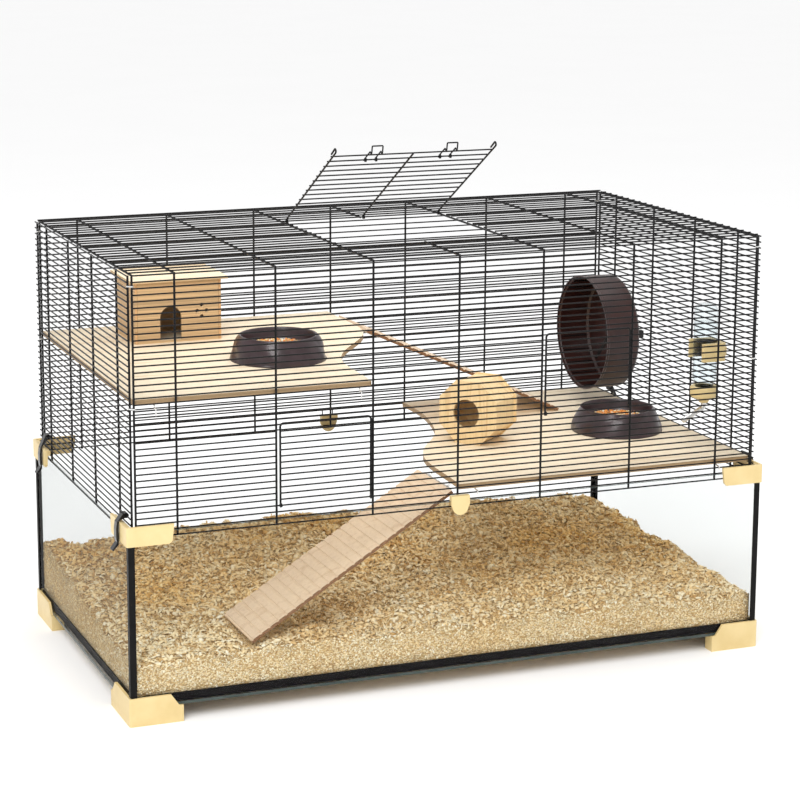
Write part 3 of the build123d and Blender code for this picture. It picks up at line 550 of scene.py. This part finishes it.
# ----------------------------------------------------------------------- bowls
def bowl(name, node, body):
    """Rock-like bowl: a lathe whose outside is pushed into a few broad, worn facets."""
    lo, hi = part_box(node)
    centre = Vector(((lo.x + hi.x) / 2, (lo.y + hi.y) / 2, lo.z))
    # radius and height in millimetres, from the middle underneath, over the rim, to the middle inside
    profile = [(0, 3.2), (30, 3.2), (50, 3.2), (63, 14.6), (70.6, 0.4), (72.6, 0.2), (73.4, 1.6), (73.2, 6),
               (71, 13), (68.6, 20), (66.2, 26), (63.4, 31.5), (60.4, 35.2), (58.6, 36.6), (57, 37),
               (55.8, 36.6), (55.2, 35.4), (54.4, 32), (53, 25), (51.8, 20.2), (47, 13), (42, 8),
               (20, 8), (0, 8)]
    around = 144
    verts, faces = [], []
    seed = centre.x * 37
    for r, z in profile:
        for k in range(around):
            a = 2 * math.pi * k / around
            rr = r
            if r > 57.2 and 1 < z < 36:
                # facets: seven uneven flats, split at mid height, with shallow dents
                part = z / 37
                turn = a + 0.25 * math.sin(3 * part + seed)
                flat = abs(math.sin(3.5 * turn + seed)) ** 0.6
                ledge = 1.2 * math.sin(2 * a + seed) * math.sin(6 * part)
                dent = noise.noise(Vector((math.cos(a) * 2.6, math.sin(a) * 2.6, part * 2.2 + seed)))
                rr = r - 3.6 + 2.6 * flat + ledge * 0.8 + 1.6 * dent * math.sin(math.pi * part)
                rr = min(rr, r)
            verts.append(centre + Vector((rr * math.cos(a), rr * math.sin(a), z)) * MM)
    rows = len(profile)
    for i in range(rows - 1):
        for k in range(around):
            m = (k + 1) % around
            faces.append((i * around + k, (i + 1) * around + k, (i + 1) * around + m, i * around + m))
    ob = piece(name, body, verts, faces, BOWL, slot="bowl_plastic", smooth=True)
    bm = bmesh.new()
    bm.from_mesh(ob.data)
    bmesh.ops.remove_doubles(bm, verts=bm.verts, dist=0.00001)
    bmesh.ops.recalc_face_normals(bm, faces=bm.faces)
    bm.to_mesh(ob.data)
    bm.free()
    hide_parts(node)


def grain_shape(kind):
    """A small pellet, seed or disc, about one unit long."""
    bm = bmesh.new()
    bmesh.ops.create_icosphere(bm, subdivisions=2 if kind != 0 else 1, radius=0.5)
    scale = ((1.0, 0.62, 0.5), (1.0, 0.55, 0.42), (0.8, 0.8, 0.32), (1.2, 0.45, 0.4), (1.0, 0.42, 0.38))[kind]
    for v in bm.verts:
        v.co = Vector((v.co.x * scale[0], v.co.y * scale[1], v.co.z * scale[2]))
        if kind in (1, 4):
            v.co *= 1.0 - 0.35 * max(0.0, v.co.x)
    verts = np.array([v.co[:] for v in bm.verts])
    faces = np.array([[v.index for v in f.verts] for f in bm.faces])
    bm.free()
    return verts, faces


def feed(name, node, body):
    """A heap of mixed grains on a low mound inside the bowl."""
    lo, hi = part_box(node)
    centre = Vector(((lo.x + hi.x) / 2, (lo.y + hi.y) / 2, 0))
    r_top = (hi.x - lo.x) / 2
    rounds, around = 16, 48
    verts = [(centre.x, centre.y, hi.z - 3.2 * MM)]
    for i in range(1, rounds + 1):
        r = (r_top - 1.2 * MM) * i / rounds
        drop = 3.2 * MM + (hi.z - lo.z) * 0.36 * (i / rounds) ** 1.4
        for k in range(around):
            a = 2 * math.pi * k / around
            verts.append((centre.x + r * math.cos(a), centre.y + r * math.sin(a), hi.z - drop))
    base = len(verts)
    for k in range(around):
        a = 2 * math.pi * k / around
        verts.append((centre.x + 41 * MM * math.cos(a), centre.y + 41 * MM * math.sin(a), lo.z + 0.3 * MM))
    faces = [(0, 1 + k, 1 + (k + 1) % around) for k in range(around)]
    for i in range(rounds - 1):
        for k in range(around):
            m = (k + 1) % around
            inner, outer = 1 + i * around, 1 + (i + 1) * around
            faces.append((inner + k, outer + k, outer + m, inner + m))
    edge = 1 + (rounds - 1) * around
    faces += [(edge + k, base + k, base + (k + 1) % around, edge + (k + 1) % around) for k in range(around)]
    faces.append([base + k for k in range(around)][::-1])
    heap = piece(name + "_mound", body, verts, faces, FEED[1], slot="feed", smooth=True)
    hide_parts(node)

    all_v, all_f, all_m, k0 = [], [], [], 0
    count = 900
    share = rng.choice(5, count, p=(0.30, 0.32, 0.18, 0.12, 0.08))
    shapes = [grain_shape(i) for i in range(5)]
    for i in range(count):
        kind = int(share[i])
        sv, sf = shapes[kind]
        r = (r_top - 4.5 * MM) * math.sqrt(rng.uniform())
        a = rng.uniform(0, 2 * math.pi)
        z = hi.z - 3.0 * MM - (hi.z - lo.z) * 0.36 * (r / r_top) ** 1.4 + rng.uniform(-1, 1.6) * MM
        size = (8.0, 6.5, 7.0, 5.5, 6.0)[kind] * rng.uniform(0.75, 1.15) * MM
        turn = Euler((rng.uniform(-0.9, 0.9), rng.uniform(-0.9, 0.9), rng.uniform(0, 6.28))).to_matrix()
        turned = sv @ np.array(turn).T * size
        all_v.append(turned + np.array([centre.x + r * math.cos(a), centre.y + r * math.sin(a), z]))
        all_f.append(sf + k0)
        all_m += [kind] * len(sf)
        k0 += len(sv)
    grains = piece(name + "_grains", body, np.concatenate(all_v), np.concatenate(all_f).tolist(), *FEED,
                   slot="feed", smooth=True)
    grains.data.polygons.foreach_set("material_index", all_m)
    grains.data.update()


# ----------------------------------------------------------------------- house
def finger_joints():
    """End grain of the side walls showing as tabs in the front and back faces."""
    lo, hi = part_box("house_walls")
    t, skin = BOARD, 0.06 * MM
    front, back = [], []
    step = (hi.z - lo.z) / 5
    for k in range(0, 5, 2):
        z0, z1 = lo.z + k * step + 0.4 * MM, lo.z + (k + 1) * step - 0.4 * MM
        for x0, x1 in ((lo.x, lo.x + t), (hi.x - t, hi.x)):
            front.append(((x0 + 0.1 * MM, lo.y - skin, z0), (x1, lo.y + skin, z1)))
            back.append(((x0 + 0.1 * MM, hi.y - skin, z0), (x1, hi.y + skin, z1)))
    bars("house_tabs", "house", front + back, TAB, "plywood")
    seams = []
    for k in range(1, 5):
        z = lo.z + k * step
        for x0, x1 in ((lo.x, lo.x + t), (hi.x - t, hi.x)):
            seams.append(((x0, lo.y - 2 * skin, z - 0.25 * MM), (x1, lo.y, z + 0.25 * MM)))
    for x in (lo.x + t, hi.x - t):
        seams.append(((x - 0.2 * MM, lo.y - 2 * skin, lo.z), (x + 0.2 * MM, lo.y, hi.z)))
    bars("house_seams", "house", seams, SEAM, "plywood")


# ----------------------------------------------------------------------- wheel
def wheel_detail():
    """Four tapered spokes on the inside of the drum's back."""
    lo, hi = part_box("wheel_drum")
    cy, cz = (lo.y + hi.y) / 2, (lo.z + hi.z) / 2
    x_back = hi.x - 2.6 * MM
    verts, faces = [], []
    spokes, steps = 4, 10
    for s in range(spokes):
        a = math.pi / 4 + s * math.pi / 2
        for k in range(steps):
            r = (17 + 66 * k / (steps - 1)) * MM
            half = (5.5 - 2.5 * k / (steps - 1)) * MM
            for side, dx in ((-1, 0.0), (-0.5, 1.6), (0.5, 1.6), (1, 0.0)):
                y = cy + r * math.cos(a) - side * half * math.sin(a)
                z = cz + r * math.sin(a) + side * half * math.cos(a)
                verts.append((x_back - dx * MM, y, z))
        base = s * steps * 4
        for k in range(steps - 1):
            for j in range(3):
                at = base + 4 * k + j
                faces.append((at, at + 1, at + 5, at + 4))
            faces.append((base + 4 * k + 3, base + 4 * k, base + 4 * k + 4, base + 4 * k + 7))
        faces.append((base, base + 1, base + 2, base + 3))
        end = base + 4 * (steps - 1)
        faces.append((end + 3, end + 2, end + 1, end))
    piece("wheel_spokes", "wheel", verts, faces, DARK, slot="black_plastic")


# ------------------------------------------------------------------------ build
glass_edges()
bedding_heap()
top_shavings()
side_shavings()
bowl("bowl_left_rock", "bowl_left", "bowl_left")
bowl("bowl_right_rock", "bowl_right", "bowl_right")
feed("feed_left_mix", "feed_left", "bowl_left")
feed("feed_right_mix", "feed_right", "bowl_right")
finger_joints()
wheel_detail()


# ------------------------------------------------------------- stage and camera
def floor():
    half = FLOOR_HALF
    corners = [(-half, -half, 0), (half, -half, 0), (half, half, 0), (-half, half, 0)]
    mesh = bpy.data.meshes.new("floor")
    mesh.from_pydata(corners, [], [(0, 1, 2, 3)])
    ob = bpy.data.objects.new("floor", mesh)
    bpy.context.scene.collection.objects.link(ob)
    m = Look("floor_paper", (0.95, 0.95, 0.95), 0.9, Specular_IOR_Level=0.1)
    m.colour(m.ramp(m.noise(m.space(), 2.0, 2.0), (0.0, (0.94, 0.94, 0.94)), (1.0, (0.96, 0.96, 0.96))))
    mesh.materials.append(m.mat)


def area(name, place, target, size, watts):
    data = bpy.data.lights.new(name, "AREA")
    data.shape, data.size, data.energy = "DISK", size, watts
    ob = bpy.data.objects.new(name, data)
    ob.location = place
    ob.rotation_euler = (Vector(target) - Vector(place)).to_track_quat("-Z", "Y").to_euler()
    bpy.context.scene.collection.objects.link(ob)


def stage():
    scene = bpy.context.scene
    floor()
    world = bpy.data.worlds.new("studio")
    world.use_nodes = True
    world.node_tree.nodes["Background"].inputs["Color"].default_value = (1, 1, 1, 1)
    world.node_tree.nodes["Background"].inputs["Strength"].default_value = 1.0
    scene.world = world
    area("key", *KEY_LIGHT)
    area("top", *TOP_LIGHT)
    scene.view_settings.view_transform = "Standard"

    cam = bpy.data.cameras.new("camera")
    cam.sensor_width = SENSOR
    cam.lens = LENS
    cam.shift_x, cam.shift_y = SHIFT_X, SHIFT_Y
    cam.clip_start, cam.clip_end = 0.05, 50
    ob = bpy.data.objects.new("camera", cam)
    ob.location = CAMERA_PLACE
    ob.rotation_euler = (math.radians(CAMERA_TILT), 0, math.radians(CAMERA_TURN))
    scene.collection.objects.link(ob)
    scene.camera = ob


stage()
